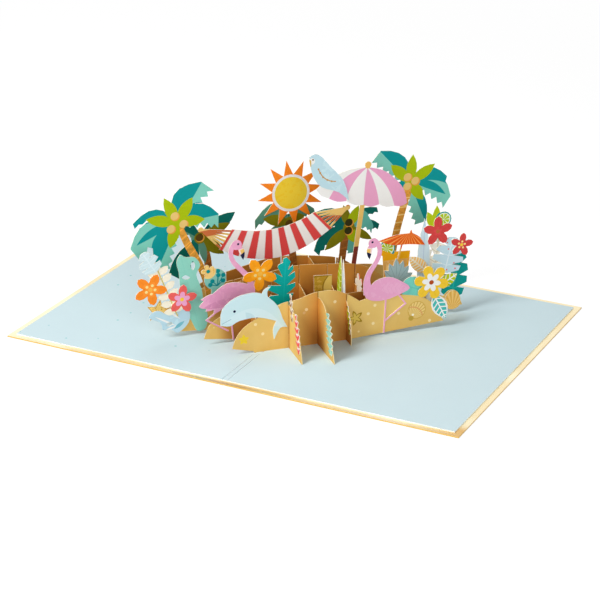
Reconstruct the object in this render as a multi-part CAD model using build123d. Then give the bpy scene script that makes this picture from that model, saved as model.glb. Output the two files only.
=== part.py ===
from build123d import *
import os
from math import acos, cos, dist, hypot, pi, sin, sqrt, tan

# Pop up card lying open: a folded cover, a liner and a lattice of slotted slices with cut-out figures.
# Millimetres, Z up, the spine along Y, the reader at -Y.

# Base card
CARD_W = 266.0
CARD_D = 178.0
COVER_T = 0.7
LINER_T = 0.6
BORDER = 3.5
SCORE_GAP = 3.0
SCORE_W = 0.7
SCORE_DEPTH = 0.25

# Lattice: long slices face the reader, cross slices pass through them
PITCH = 16.26
SLICE_T = 0.4
SLOT_PLAY = 0.1
LAP_Z = 9.0
FOOT_W = 7.0
FLAT_RUN = 25.0
END_RISE = 3.0
CROSS_TAIL = 12.0
NOTCH_PLAY = 1.5

# Cut-out figures
FIG_T = 0.4
LEG_W = 0.85
TRUNK_W = 4.2
TRUNK_FOOT = 8.0
POLE_W = 2.7
STRING_W = 1.1
STEM_W = 3.0
COCONUT_R = 2.6
SUN_R = 19.5
SUN_ROOT_R = 10.8
SUN_RAYS = 12
PETAL_STEPS = 6
LEAF_STEPS = 6
CURVE_STEPS = 3
TOOTH = 0.2

# Rounded corners: the share of a run that one may take, and the turn in radians that counts as none
ROUNDING = 0.47
IN_LINE = 0.005

BASE_Z = COVER_T + LINER_T
ROOT2 = sqrt(2)
parts = {}


def spot(u, v, z=0.0):
    """Point of the card from distances along (u) and across (v) the long slices."""
    return ((u + v) / ROOT2, (u - v) / ROOT2, z)


def long_plane(row, lift=0.0):
    """Plane of a long slice, counted from the spine's middle towards the reader, with local axes (u, z)."""
    return Plane(origin=spot(0, row * PITCH), x_dir=(1, 1, 0), z_dir=(1, -1, 0)).offset(lift)


def cross_plane(col, lift=0.0):
    """Plane of a cross slice, with local axes (v, z)."""
    return Plane(origin=spot(col * PITCH, 0), x_dir=(1, -1, 0), z_dir=(-1, -1, 0)).offset(lift)


def cell(col):
    """Middle of the open cell to the right of a cross slice."""
    return (col + 0.5) * PITCH


# Outline helpers

def along(p, q, t, side=0.0):
    """Point a share t of the way from p to q, and side mm to the left of that line."""
    dx, dy = q[0] - p[0], q[1] - p[1]
    n = hypot(dx, dy)
    return (p[0] + t * dx - side * dy / n, p[1] + t * dy + side * dx / n)


def polygon(points):
    return make_face(Polyline(*points, close=True))


def soft_line(points):
    """Line with corners as round as the two runs beside each allow; straight runs are joined."""
    corners, radii = [], []
    for a, b, c in zip(points, points[1:], points[2:]):
        runs = dist(a, b), dist(b, c)
        cosine = ((b[0] - a[0]) * (c[0] - b[0]) + (b[1] - a[1]) * (c[1] - b[1])) / (runs[0] * runs[1])
        turn = acos(max(-1, min(1, cosine)))
        if turn > IN_LINE:
            corners.append(b)
            radii.append(ROUNDING * min(runs) / tan(turn / 2))
    corners = points[:1] + corners + points[-1:]
    return FilletPolyline(*corners, radius=radii) if radii else Line(*corners)


def curve(points, close=False):
    """Short runs of a smooth line through the given points."""
    ring = points[-1:] + points + points[:2] if close else points[:1] + points + points[-1:]
    made = []
    for a, b, c, d in zip(ring, ring[1:], ring[2:], ring[3:]):
        for i in range(CURVE_STEPS):
            t = i / CURVE_STEPS
            shares = (-t + 2 * t**2 - t**3, 2 - 5 * t**2 + 3 * t**3, t + 4 * t**2 - 3 * t**3, t**3 - t**2)
            made.append(tuple(sum(s * p[k] for s, p in zip(shares, (a, b, c, d))) / 2 for k in (0, 1)))
    return made if close else made + points[-1:]


def smooth(*points):
    """Closed smooth outline."""
    return polygon(curve(list(points), close=True))


def chain(*runs):
    """Closed outline of smooth runs that meet in corners, each starting where the last one ends."""
    return polygon([p for run in runs for p in curve(run)[:-1]])


def blade(p, q, w, bow=0.0):
    """Pointed leaf from p to q, bowed to the left."""
    shares = [i / LEAF_STEPS for i in range(1, LEAF_STEPS)]
    left = [along(p, q, t, 4 * t * (1 - t) * (bow + w / 2)) for t in shares]
    right = [along(p, q, t, 4 * t * (1 - t) * (bow - w / 2)) for t in reversed(shares)]
    return polygon([p] + left + [q] + right)


def ribbon(points, widths):
    """Strip with smooth sides about a centre line."""
    left, right = [], []
    for i, p in enumerate(points):
        a, b = points[max(i - 1, 0)], points[min(i + 1, len(points) - 1)]
        n = hypot(b[0] - a[0], b[1] - a[1])
        nx, ny = -(b[1] - a[1]) / n, (b[0] - a[0]) / n
        left.append((p[0] + nx * widths[i] / 2, p[1] + ny * widths[i] / 2))
        right.append((p[0] - nx * widths[i] / 2, p[1] - ny * widths[i] / 2))
    right.reverse()
    return polygon(curve(left) + curve(right))


def bar(p, q, w):
    """Straight strip."""
    return polygon([along(p, q, t, side * w / 2) for t, side in ((0, 1), (1, 1), (1, -1), (0, -1))])


def frond(p, q, w, bow, teeth=6):
    """Broad palm frond, arched and smooth above, with a toothed edge below."""
    up = 1 if q[0] > p[0] else -1
    shares = [i / LEAF_STEPS for i in range(1, LEAF_STEPS)]
    points = [p] + [along(p, q, t, up * 4 * bow * t * (1 - t)) for t in shares] + [q]
    for i in range(teeth):
        for share, reach in ((0.3, 1.0), (0.8, 1 - TOOTH)):
            t = 1 - (i + share) / teeth
            drop = w * reach * sin(pi * (0.2 + 0.7 * (1 - t)))
            points.append(along(p, q, t, up * (4 * bow * t * (1 - t) - drop)))
    return polygon(points)


def fern(p, q, w, teeth):
    """Leaf with pointed leaflets on both sides of a straight rib."""
    points = []
    for side in (1, -1):
        row = []
        for i in range(teeth):
            reach = w / 2 * sin(pi * (0.18 + 0.72 * (i + 0.5) / teeth))
            row.append(along(p, q, (i + 0.1) / teeth, side * 0.25 * reach))
            row.append(along(p, q, (i + 0.9) / teeth, side * reach))
        points += row + [q] if side == 1 else row[::-1]
    return polygon(points)


def split_leaf(p, q, w, cuts):
    """Broad leaf with wedge cuts along both edges."""
    points = []
    for side in (1, -1):
        row = []
        for i in range(cuts):
            for share, reach in ((0.0, 0.3), (0.45, 1.0), (0.95, 0.95)):
                t = 0.06 + 0.94 * (i + share) / cuts
                row.append(along(p, q, t, side * reach * w / 2 * sin(pi * (0.16 + 0.8 * t)) ** 0.7))
        points += row + [q] if side == 1 else row[::-1]
    return polygon(points)


def rosette(centre, r, petals, waist=0.45, turn=0.0):
    """Flower with round petals."""
    points = []
    for i in range(petals * PETAL_STEPS):
        a = 2 * pi * i / (petals * PETAL_STEPS)
        reach = r * (waist + (1 - waist) * abs(sin(petals * a / 2)) ** 0.6)
        points.append((centre[0] + reach * cos(a + turn), centre[1] + reach * sin(a + turn)))
    return polygon(points)


def lily(centre, r, turn, petals=5):
    """Flower with pointed petals."""
    points = []
    for i in range(petals):
        for share, reach in ((0, 0.42), (0.16, 0.68), (0.32, 0.88), (0.5, 1), (0.68, 0.88), (0.84, 0.68)):
            a = turn + 2 * pi * (i + share) / petals
            points.append((centre[0] + r * reach * cos(a), centre[1] + r * reach * sin(a)))
    return polygon(points)


def star(centre, r, root_r, points, turn):
    """Star with straight points."""
    corners = []
    for i in range(2 * points):
        a = pi * i / points + turn
        reach = root_r if i % 2 else r
        corners.append((centre[0] + reach * cos(a), centre[1] + reach * sin(a)))
    return polygon(corners)


def sprig(p, q, w, pairs, leaf):
    """Thin stem with a leaf at its tip and pairs of oval leaves."""
    shape = Sketch() + bar(p, q, LEG_W) + blade(along(p, q, 0.8), along(p, q, 1.1), leaf)
    for i in range(pairs):
        t = (i + 0.6) / (pairs + 0.6)
        for side in (1, -1):
            tip = along(p, q, t + 0.5 / (pairs + 0.6), side * w / 2)
            shape += blade(along(p, q, t, -side * 0.3), tip, leaf)
    return shape


def disc(centre, r):
    """Round patch with as many sides as its size needs."""
    sides = max(10, round(3 * r))
    turns = [2 * pi * i / sides for i in range(sides)]
    return polygon([(centre[0] + r * cos(a), centre[1] + r * sin(a)) for a in turns])


def palm(crown, fronds, leaves, trunk):
    """Palm cut from one sheet: fronds, short leaves, a knot of nuts and a trunk."""
    shape = Sketch() + disc(crown, 2 * COCONUT_R)
    shape += [frond(crown, tip, w, bow) for tip, w, bow in fronds]
    shape += [blade(crown, tip, w) for tip, w in leaves]
    return shape + ribbon([crown] + trunk, [0.8 * TRUNK_W] + [TRUNK_W] * len(trunk))


# Lattice

ROWS = tuple(range(2, -3, -1))
CROSS_HEIGHTS = {
    -2: (15.0, 17.0, 18.0, 18.0, 17.0),
    -1: (15.0, 18.0, 19.0, 18.5, 26.5),
    0: (17.0, 21.0, 24.0, 19.5, 28.5),
    1: (25.0, 23.0, 26.0, 20.0, 25.0),
    2: (16.0, 19.0, 19.0, 19.0, 18.0),
}
CROSS_NOSE = {
    -1: [(9.2, 25.2), (15.2, 19.5), (19.5, 11.0), (23.0, BASE_Z)],
    0: [(5.0, 29.4), (9.9, 28.4), (15.8, 24.2), (21.5, 14.0), (28.0, BASE_Z)],
    1: [(3.4, 19.6), (7.6, 13.8), (8.6, 8.5), (8.2, BASE_Z)],
}

LONG_TOPS = {
    2: [[(-48, 5), (-45.8, 11.7), (-40.8, 17.4), (-33.5, 21), (-20.7, 28), (-11.7, 28.5), (-2.7, 31.7),
         (9.7, 31.8), (18.6, 27), (23.8, 23.1)],
        [(23.8, 23.1), (30, 24.6), (48, 23.9), (63.9, 20), (72.6, 5)]],
    1: [[(-59, 5.3), (-56.6, 12.6), (-51, 16.6), (-45.4, 18.7), (-25, 21), (0, 20.3), (30, 21.5), (60, 20.5),
         (78.8, 12)],
        [(78.8, 12), (82, 15.4), (86.5, 14.8), (90.4, 5.5)]],
    0: [[(-68.6, 4.2), (-65.6, 11), (-55, 20), (-35, 29.5), (-2.9, 34.7), (12.1, 33.4), (32.5, 31.3),
         (44.4, 26.2), (53.4, 15.4)],
        [(53.4, 15.4), (62, 16.8), (72, 15), (79, 5)]],
    -1: [[(-78, 6), (-74, 13), (-66, 17), (-50, 21), (-20, 25), (5, 25.6), (30, 24.5), (50, 22.5), (64, 18),
          (72, 5)]],
    -2: [[(-58, 6), (-53, 14), (-40, 20), (-5, 27.5), (16, 25.6), (35, 22), (46, 14), (50, 6)]],
}


def slot(place, low, high, width):
    return Pos(place, (low + high) / 2) * Rectangle(width, high - low)


def slice_face(runs, spine):
    """Slice outline: smooth top runs, a bottom that lies flat near the spine and lifts to both ends."""
    left, right = runs[0][0], runs[-1][-1]
    low = (spine / 4 - FLAT_RUN, BASE_Z), (min(spine / 4 + FLAT_RUN, right[0]), BASE_Z)
    return make_face([soft_line(run) for run in runs] + [Polyline(right, low[1], low[0], left)])


def meets(col, row):
    """True where a cross slice passes through a long slice, and not only up to its back."""
    return row < ROWS[0] or col in CROSS_NOSE


SLOT_W = SLICE_T + 2 * SLOT_PLAY
TALL = 2 * LAP_Z + 40

for row in ROWS:
    spine = -row * PITCH
    face = slice_face(LONG_TOPS[row], spine)
    face += slot(spine, COVER_T, LAP_Z / 2, FOOT_W)
    for col in CROSS_HEIGHTS:
        if meets(col, row):
            face -= slot(col * PITCH, LAP_Z - SLOT_PLAY, TALL, SLOT_W)
    number = ROWS[0] - row + 1
    parts[f"sand_slice_{number}"] = extrude(long_plane(row) * face, SLICE_T / 2, both=True)

for number, (col, heights) in enumerate(CROSS_HEIGHTS.items(), 1):
    spine = -col * PITCH
    back = ROWS[-1] * PITCH
    front = ROWS[0] * PITCH
    knots = [(back - CROSS_TAIL, BASE_Z + END_RISE), (back - CROSS_TAIL / 2, 0.8 * heights[0])]
    knots += [(row * PITCH, h) for row, h in zip(reversed(ROWS), heights)]
    if col in CROSS_NOSE:
        knots += [(front + reach, z) for reach, z in CROSS_NOSE[col]]
    else:
        knots[-1] = (front - SLICE_T / 2 - SLOT_PLAY, heights[-1])
    face = slice_face([knots], spine)
    for row in ROWS:
        if meets(col, row):
            face -= slot(row * PITCH, 0, LAP_Z + SLOT_PLAY, SLOT_W)
    parts[f"cross_slice_{number}"] = extrude(cross_plane(col) * face, SLICE_T / 2, both=True)


# Base card

parts["cover_card"] = Pos(0, 0, COVER_T / 2) * Box(CARD_W, CARD_D, COVER_T)
liner = Pos(0, 0, COVER_T + LINER_T / 2) * Box(CARD_W - 2 * BORDER, CARD_D - 2 * BORDER, LINER_T)
for x in (-SCORE_GAP / 2, SCORE_GAP / 2):
    liner -= Pos(x, 0, BASE_Z) * Box(SCORE_W, CARD_D, 2 * SCORE_DEPTH)
    parts["cover_card"] -= Pos(x, 0, 0) * Box(SCORE_W, CARD_D, 2 * SCORE_DEPTH)
for row in ROWS:
    slit = Rectangle(FOOT_W + 2 * SLOT_PLAY, SLOT_W)
    foot = Pos(*spot(-row * PITCH, row * PITCH)) * Rot(0, 0, 45) * slit
    liner -= Pos(0, 0, COVER_T) * extrude(foot, LINER_T)
parts["liner_sheet"] = liner


# Figures

def glue(name, row, shape, layer=1):
    """Glue a cut-out on a long slice: layer 1 lies on its front, 2 on a layer 1, and -1 on its back."""
    lift = SLICE_T / 2 + (layer - 1) * FIG_T if layer > 0 else -SLICE_T / 2 + layer * FIG_T
    for col, heights in CROSS_HEIGHTS.items():
        if meets(col, row) or layer < 0:
            shape -= slot(col * PITCH, 0, heights[row - ROWS[-1]] + NOTCH_PLAY, SLOT_W)
    parts[name] = extrude(long_plane(row, lift) * shape, FIG_T, dir=long_plane(row).z_dir)


def glue_cross(name, col, shape):
    """Glue a cut-out on the left face of a cross slice."""
    plane = cross_plane(col, SLICE_T / 2)
    parts[name] = extrude(plane * shape, FIG_T, dir=plane.z_dir)


# Front slice
dolphin = chain(
    [(-54.4, 19.6), (-53.4, 28.6), (-46, 34.6), (-36.6, 36.2), (-31.5, 35)],
    [(-31.5, 35), (-29.6, 37.6), (-26.5, 38.4)],
    [(-26.5, 38.4), (-28.4, 35.8), (-28.2, 32.8)],
    [(-28.2, 32.8), (-22.8, 27), (-20, 19.2)],
    [(-20, 19.2), (-17.3, 13.8)],
    [(-17.3, 13.8), (-21.4, 13.8), (-24.8, 7.5)],
    [(-24.8, 7.5), (-25.4, 13.2), (-23.6, 18.2)],
    [(-23.6, 18.2), (-33.6, 21.6), (-43.8, 21), (-49, 18.6), (-54.4, 19.6)],
)
glue("dolphin", 2, dolphin)

flamingo = Sketch() + smooth(
    (26.6, 26), (32, 33.5), (40, 35.2), (47, 32), (52.4, 27.3), (46, 24), (38, 22), (31, 22.5))
flamingo += ribbon([(29, 27), (27.6, 33), (28.6, 38.5), (32.2, 44), (34.4, 49), (34.2, 54), (31.2, 57)],
                   [6.5, 4, 3, 2.6, 2.5, 2.7, 4])
flamingo += disc((31, 56), 2.9)
flamingo += blade((30.4, 57), (28.9, 46.8), 3, -0.9)
flamingo += bar((38.6, 23), (37.7, 2.5), LEG_W)
flamingo += bar((45, 25.5), (50.2, 18.1), LEG_W)
flamingo += bar((50.4, 18.6), (38.1, 9.6), LEG_W)
glue("flamingo_right", 2, flamingo)

glue("edged_leaf", 2, blade((66.2, 21.8), (73.8, 6.4), 9))
oval = smooth((47.6, 27), (50, 32), (55, 33.2), (60, 30), (60.6, 24), (56, 20), (50.6, 20))
glue("mint_sprig", 2, oval, layer=-1)
glue("lime_leaf", 2, blade((68, 25.4), (79.8, 32), 7))
glue("yellow_blossom", 2, rosette((64.7, 29), 10.2, 6, 0.5, 0.3), layer=2)

# Second slice
flamingo = Sketch() + smooth(
    (-30.6, 30.5), (-36, 35), (-45.8, 36.2), (-54, 31), (-61.5, 24.6), (-54, 22.5), (-45, 21.8), (-36, 24))
flamingo += [blade((-46, 29), tip, 5) for tip in ((-60.5, 28.5), (-58, 21.5), (-53.5, 19.5))]
flamingo += ribbon(
    [(-33.5, 28), (-32.4, 32), (-33.4, 37), (-37, 42), (-41.2, 46.8), (-43.4, 51.5), (-43, 56),
     (-40.4, 58.4)],
    [6.5, 4, 3.2, 2.8, 2.6, 2.5, 2.7, 3.8])
flamingo += disc((-40.2, 57.6), 2.9)
flamingo += blade((-40, 58.4), (-36.7, 48.6), 3, 0.9)
flamingo += bar((-48, 23.5), (-57.8, 16), LEG_W)
flamingo += bar((-57.9, 16.5), (-45.4, 8.4), LEG_W)
flamingo += bar((-44.5, 23), (-42.7, 2.8), LEG_W)
glue("flamingo_left", 1, flamingo)

teal_leaf = polygon([
    (-14.1, 17.8), (-10.1, 21.9), (-8.6, 25.7), (-12.3, 25.7), (-7.6, 29.5), (-7.6, 31.7), (-12.2, 30.9),
    (-7.5, 35), (-7.9, 38.2), (-11.8, 36), (-8.6, 39.8), (-8.9, 42.3), (-11.8, 39.6), (-10.1, 44.2),
    (-12.3, 47), (-14.3, 46.6), (-14.6, 44.2), (-16.8, 43.4), (-17.5, 42), (-14.8, 36), (-19.3, 39),
    (-20.2, 34.4), (-15.5, 30.9), (-22.8, 32), (-23.3, 29.5), (-16.8, 25.7), (-21.8, 25.7), (-23.3, 24),
    (-20.8, 20.8), (-16.4, 18)])
teal_leaf = Sketch() + teal_leaf + bar((-13.6, 24), (cell(-1), TRUNK_FOOT), STEM_W)
glue("teal_leaf", 1, teal_leaf)
glue("orange_blossom_mid", 1, lily((-27.5, 39.5), 10, 0.21), layer=2)
glue("gold_drum", 1, polygon([
    (cell(0) - 4.6, TRUNK_FOOT), (cell(0) + 4.6, TRUNK_FOOT), (cell(0) + 5.2, 33.5), (cell(0) - 5.2, 34.4)]))
glass = polygon([(44.5, 12), (55.5, 12), (58.4, 42), (42.2, 43)])
glue("drink_glass", 1, Sketch() + glass + disc((44.8, 44.8), 4.8))
parasol = chain(
    [(39.6, 50.1), (49, 52.4), (57.6, 52.6)],
    [(57.6, 52.6), (58.5, 54.6), (59.2, 52.5)],
    [(59.2, 52.5), (63.4, 49.8), (66.7, 44.7)],
    [(66.7, 44.7), (57, 46.2), (48, 46.8), (39.6, 50.1)],
)
parasol = Sketch() + parasol + bar((54, 49.5), (51, 38), LEG_W)
glue("drink_parasol", 1, parasol, layer=3)
fingers = ((42.3, 27.5), (43.5, 32.2), (46.2, 36), (50.2, 38.6), (54.4, 36.8), (57.8, 33.4), (60, 28.8))
grey = Sketch() + disc((50.8, 25), 5) + [blade((50.8, 24.5), tip, 4.4) for tip in fingers]
glue("grey_leaf", 1, grey, layer=2)
coral = Sketch() + fern((71, TRUNK_FOOT), (75.4, 51), 12, 6) + fern((71.5, 22), (67, 47), 7, 4)
glue("cream_coral", 1, coral)
glue("blue_strip", 1, blade((66, TRUNK_FOOT), (66.4, 60), 7.4), layer=2)
glue("red_blossom_high", 1, lily((74.1, 51.6), 8.8, 0.94), layer=3)
lime = Sketch() + disc((77.4, 58.1), 4.6)
lime += [blade((73, 52), tip, 5) for tip in ((67.8, 63.6), (73.4, 66.8))]
glue("lime_slice", 1, lime, layer=2)
glue("teal_frond", 1, split_leaf((83, TRUNK_FOOT), (89, 38), 15, 4), layer=-1)
glue("blue_leaf_right", 1, split_leaf((78.5, 25), (83.5, 47), 19, 4), layer=2)
glue("red_blossom_low", 1, lily((88.4, 42), 7, 0.77), layer=3)
glue("striped_leaf", 1, blade((69.6, 27.6), (57.5, 38.6), 7.5), layer=3)
shell = smooth((79.6, 6), (80.2, 12.2), (84.2, 15.2), (88, 12.4), (88.8, 6), (84.3, 3.6))
glue("gold_shell", 1, shell, layer=2)

# Middle slice
mint = Sketch() + smooth(
    (-67, 49), (-64, 47.2), (-59, 46.6), (-56, 41.7), (-58.3, 36.5), (-55.6, 28), (-54.6, 21), (-52.4, 12),
    (-53.7, 4.5), (-58.4, 3.4), (-61.7, 10), (-65, 16), (-63.2, 20.5), (-67.2, 29.5), (-67.9, 38.5),
    (-69.1, 44.6))
mint -= smooth((-60.1, 44.6), (-58.8, 42), (-60.2, 39.4), (-61.5, 42))
mint -= smooth((-66.4, 35.7), (-64.2, 36.9), (-61.9, 35.2), (-64.2, 34.3))
glue("mint_leaf", 0, mint)
pad = Sketch() + disc((-47.8, 32.5), 6.2) + rosette((-51.6, 37.4), 4, 5) + bar((-48, 30), (-50, 15), STEM_W)
glue("mint_disc", 0, pad)
left = Sketch() + smooth(
    (-85.7, 15), (-82, 18.2), (-78.6, 17.8), (-75.8, 15.9), (-71.8, 18.4), (-63, 16.4), (-63.4, 9),
    (-69.3, 4), (-73.2, 6.4), (-77.8, 6.8), (-79.1, 11.2))
left -= smooth((-75.8, 9.2), (-74, 10.8), (-72.2, 10), (-74, 8.4))
glue("blue_leaf_low", 0, left, layer=2)
glue("gold_starfish", 0, star((-79.8, 17.8), 7, 3.2, 5, pi / 2 - 0.17))
glue("cream_fern", 0, sprig((-69.5, 14), (-80.5, 44), 12, 6, 4), layer=3)
glue("coral_blossom", 0, lily((-66.9, 23.6), 8.6, 0.82), layer=4)
glue("blue_leaf_high", 0, split_leaf((-80.6, 40.5), (-88, 53), 12, 3), layer=4)
glue("orange_blossom_left", 0, lily((-84.2, 31.5), 9.4, 0.49), layer=4)

umbrella_tips = [(9.7, 77), (17.3, 70.9), (27, 68.4), (37.2, 64.8), (46.2, 64.2), (55.2, 62.4), (62.6, 63.1)]
scallops = [[p, along(p, q, 0.5, -1.0), q] for p, q in zip(umbrella_tips, umbrella_tips[1:])]
apex = (39.1, 86.6)
canopy = chain(*scallops, [umbrella_tips[-1], (60.6, 71.4), (54.4, 79.2), (47.5, 84.2), apex],
               [apex, (30.4, 86.4), (22.6, 84.4), (15.6, 81.2), umbrella_tips[0]])
umbrella = Sketch() + canopy + disc((39.6, 88), 1.9) + bar((36.8, 67), (31.2, 26), POLE_W)
glue("beach_umbrella", 0, umbrella, layer=-1)
parrot = chain([(6.4, 91), (6, 96), (11, 97), (18.2, 89.2), (25.6, 80.2), (28.7, 68.4)],
               [(28.7, 68.4), (22.6, 74.2), (12.6, 78.4), (8, 85), (6.4, 91)])
plane = long_plane(0, -SLICE_T / 2)
parts["parrot"] = extrude(plane * parrot, FIG_T, dir=plane.z_dir)

# Fourth slice
glue("palm_left", -1, palm(
    (-63.9, 61),
    [((-50.2, 83.1), 16.5, 10), ((-40.7, 63.5), 14.5, 8.7), ((-88.5, 63.3), 6.5, 8), ((-90.3, 49), 15, 9),
     ((-75.5, 36.5), 13.5, 8)],
    [((-71, 76), 6), ((-55.2, 74.7), 6), ((-48.5, 61.4), 6), ((-68.4, 46.8), 6), ((-81.4, 64.8), 6)],
    [(-58, 47), (-51, 33), (-47, 20), (-46, TRUNK_FOOT)]))
glue("palm_right", -1, palm(
    (70.5, 69.2),
    [((52.5, 89.4), 14.5, 7.2), ((92.3, 70.1), 7, 7), ((94.8, 58), 14.5, 9.5), ((80.2, 44.5), 11.5, 4.5),
     ((56, 62), 9, 4)],
    [((58.6, 80.4), 6), ((71.7, 85.3), 6), ((84.9, 78.3), 6), ((78.2, 57.7), 6)],
    [(66.5, 55), (62.2, 38), (60, 22), (59.5, TRUNK_FOOT)]))
glue("palm_mid", -1, palm(
    (34.4, 46.5),
    [((13.8, 34.9), 8.5, 6.5), ((14.8, 57.9), 12, 6.5), ((48.5, 46), 10, 9), ((50.8, 56.4), 6, 5),
     ((52.4, 46.3), 6, 4), ((38, 31), 7, 2)],
    [((31, 60), 5), ((20.2, 34.3), 6), ((40, 58.8), 5.5), ((38.6, 36.5), 5.5), ((48.2, 37.6), 5)],
    [(31.7, 39.2), (30, 25.6), (cell(1), TRUNK_FOOT)]))
upper = [(-33.4, 53.6), (-20, 51), (-6, 51.2), (6, 54.4), (14.2, 58.2)]
lower = [(24.2, 47.6), (10, 38.8), (-7, 33.8), (-25, 35.6), (-40.8, 42.7)]
band = polygon(curve(upper) + curve(lower))
hammock = Sketch() + band
for ties, root, tip in ((6, (-51, 55.4), (upper[0], lower[-1])), (6, (33.4, 58.5), (upper[-1], lower[0]))):
    hammock += disc(root, 1.6)
    for i in range(ties):
        hammock += bar(root, along(tip[0], tip[1], (i + 0.5) / ties), STRING_W)
glue("hammock", -1, hammock, layer=2)

# Back slice
glue("palm_back", -2, palm(
    (5, 47),
    [((-15.3, 50.4), 11, 11), ((19.2, 53.6), 11, 9), ((-10, 37), 8, 4), ((19, 38), 8, 4)],
    [((-10.6, 50.8), 6.5), ((13.8, 50), 6.5)],
    [(6, 36), (cell(0), TRUNK_FOOT)]))
glue("sun", -2, star((5.6, 64.5), SUN_R, SUN_ROOT_R, SUN_RAYS, 0.13), layer=2)
glue("palm_dark", -2, palm(
    (-47, 44),
    [((-65.3, 25), 12, 4), ((-62, 54), 8, 5)],
    [((-26.6, 57), 9), ((-29.6, 50.9), 6), ((-33.4, 32.9), 7), ((-44.2, 28.5), 4)],
    [(-43.5, 34), (-42, 20), (-41.5, TRUNK_FOOT)]))

# Cross slices
glue_cross("cross_leaf", 1, blade((1.26 * PITCH, 12), (1.5 * PITCH, 47), 7))
middle = 0.5 * PITCH
glue_cross("cross_blossom", 2, rosette((middle, 22), 6, 5) + bar((middle, 20), (middle, 10), STEM_W))
front = ROWS[0] * PITCH
glue_cross("coral_fan", -1, fern((front + 18.6, 5), (front + 13.2, 26.5), 8, 6))
glue_cross("pale_sprig", -1, fern((front + 7.2, 19), (front + 3.9, 34.2), 6, 4))
glue_cross("mint_spray", 0, fern((front + 23.5, 4), (front + 17.4, 26.5), 11, 7))
glue_cross("brown_spray", 1, fern((front + 7, 7), (front + 2.8, 22.5), 5.5, 5))
glue_cross("blue_blade", 1, blade((front - 2.2, 14), (front - 4.6, 46.5), 3.4))

os.makedirs("parts", exist_ok=True)
for name, shape in parts.items():
    export_step(shape, f"parts/{name}.step")
    print(name, len(shape.solids()), round(shape.volume, 1))
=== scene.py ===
# %% [markdown]
# # A pop up card that opens into a paper garden
# The card lies open: a foil covered cover, a pale liner and a lattice of slotted slices that stands up at the spine.
# The solids come ready from the frame, so this lesson is about print, foil and paper, and about light.

# %% Load the frame
import math
import bpy
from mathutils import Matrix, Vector

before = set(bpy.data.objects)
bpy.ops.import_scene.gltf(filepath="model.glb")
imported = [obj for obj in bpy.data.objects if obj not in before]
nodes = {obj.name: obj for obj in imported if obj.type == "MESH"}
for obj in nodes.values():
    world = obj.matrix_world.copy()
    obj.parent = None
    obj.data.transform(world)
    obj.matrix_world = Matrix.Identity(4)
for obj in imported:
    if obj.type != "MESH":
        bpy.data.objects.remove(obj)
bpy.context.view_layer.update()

# %% [markdown]
# ## Ink
# Every sheet is printed card. The print could be a picture, but a picture has one size and one owner.
# Here each field of colour is worked out in the material from the place on the sheet, so it stays sharp at any size.
# Colours are written as the eye reads them on a screen, and turned into the linear numbers that the renderer adds up.


# %% Colours
def ink(red, green, blue):
    """Linear colour of a screen colour."""
    shares = [c / 255 for c in (red, green, blue)]
    return [s / 12.92 if s < 0.04045 else ((s + 0.055) / 1.055) ** 2.4 for s in shares] + [1.0]


def tone(colour, share):
    """The same ink, darker below 1 and lighter above."""
    return [c * share for c in colour[:3]] + [1.0]


CREAM, WHITE = ink(244, 236, 214), ink(240, 238, 234)
print("a white of 240 is", round(ink(240, 240, 240)[0], 3), "in linear light")

# %% [markdown]
# ## Numbers on a surface
# A material's maths is a net of small nodes. Wiring them by hand hides the thought, so a small class wraps a socket
# and lets Python's own operators add the nodes: `1 - mask` or `u * 2` then reads as it does on paper.
# On masks, `&` takes the lower of two values and `|` the higher, so they work as "and" and "or".


# %% A value that can be reckoned with
class Value:
    """A number that changes over a surface."""

    def __init__(self, net, socket):
        self.net = net
        self.socket = socket

    def __add__(self, other):
        return self.net.number("ADD", self, other)

    def __radd__(self, other):
        return self.net.number("ADD", other, self)

    def __sub__(self, other):
        return self.net.number("SUBTRACT", self, other)

    def __rsub__(self, other):
        return self.net.number("SUBTRACT", other, self)

    def __mul__(self, other):
        return self.net.number("MULTIPLY", self, other)

    def __rmul__(self, other):
        return self.net.number("MULTIPLY", other, self)

    def __truediv__(self, other):
        return self.net.number("DIVIDE", self, other)

    def __mod__(self, other):
        return self.net.number("FLOORED_MODULO", self, other)

    def __lt__(self, other):
        return self.net.number("LESS_THAN", self, other)

    def __gt__(self, other):
        return self.net.number("GREATER_THAN", self, other)

    def __and__(self, other):
        return self.net.number("MINIMUM", self, other)

    def __or__(self, other):
        return self.net.number("MAXIMUM", self, other)

    def __abs__(self):
        return self.net.number("ABSOLUTE", self)

    def clip(self, low=0.0, high=1.0):
        """Held between two numbers."""
        return self & high | low


# %% A net of nodes
class Net:
    """Nodes of one material, or of the world."""

    def __init__(self, tree):
        self.tree = tree

    def node(self, kind, settings=None, inputs=None):
        """Any node: its settings first, then the values or links of its sockets."""
        made = self.tree.nodes.new(kind)
        for key, value in (settings or {}).items():
            setattr(made, key, value)
        for key, value in (inputs or {}).items():
            self.feed(made.inputs[key], value)
        return made

    def feed(self, socket, value):
        """Links a value to a socket, or sets the socket's own number."""
        if isinstance(value, Value):
            value = value.socket
        if isinstance(value, bpy.types.NodeSocket):
            self.tree.links.new(value, socket)
        else:
            socket.default_value = value

    def number(self, operation, *values):
        made = self.node("ShaderNodeMath", {"operation": operation}, dict(enumerate(values)))
        return Value(self, made.outputs[0])

    def blend(self, share, first, second, way="MIX"):
        """Mix of two colours, which a Mix node takes in sockets 6 and 7 and gives out of socket 2."""
        settings = {"data_type": "RGBA", "blend_type": way}
        return self.node("ShaderNodeMix", settings, {0: share, 6: first, 7: second}).outputs[2]


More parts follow.
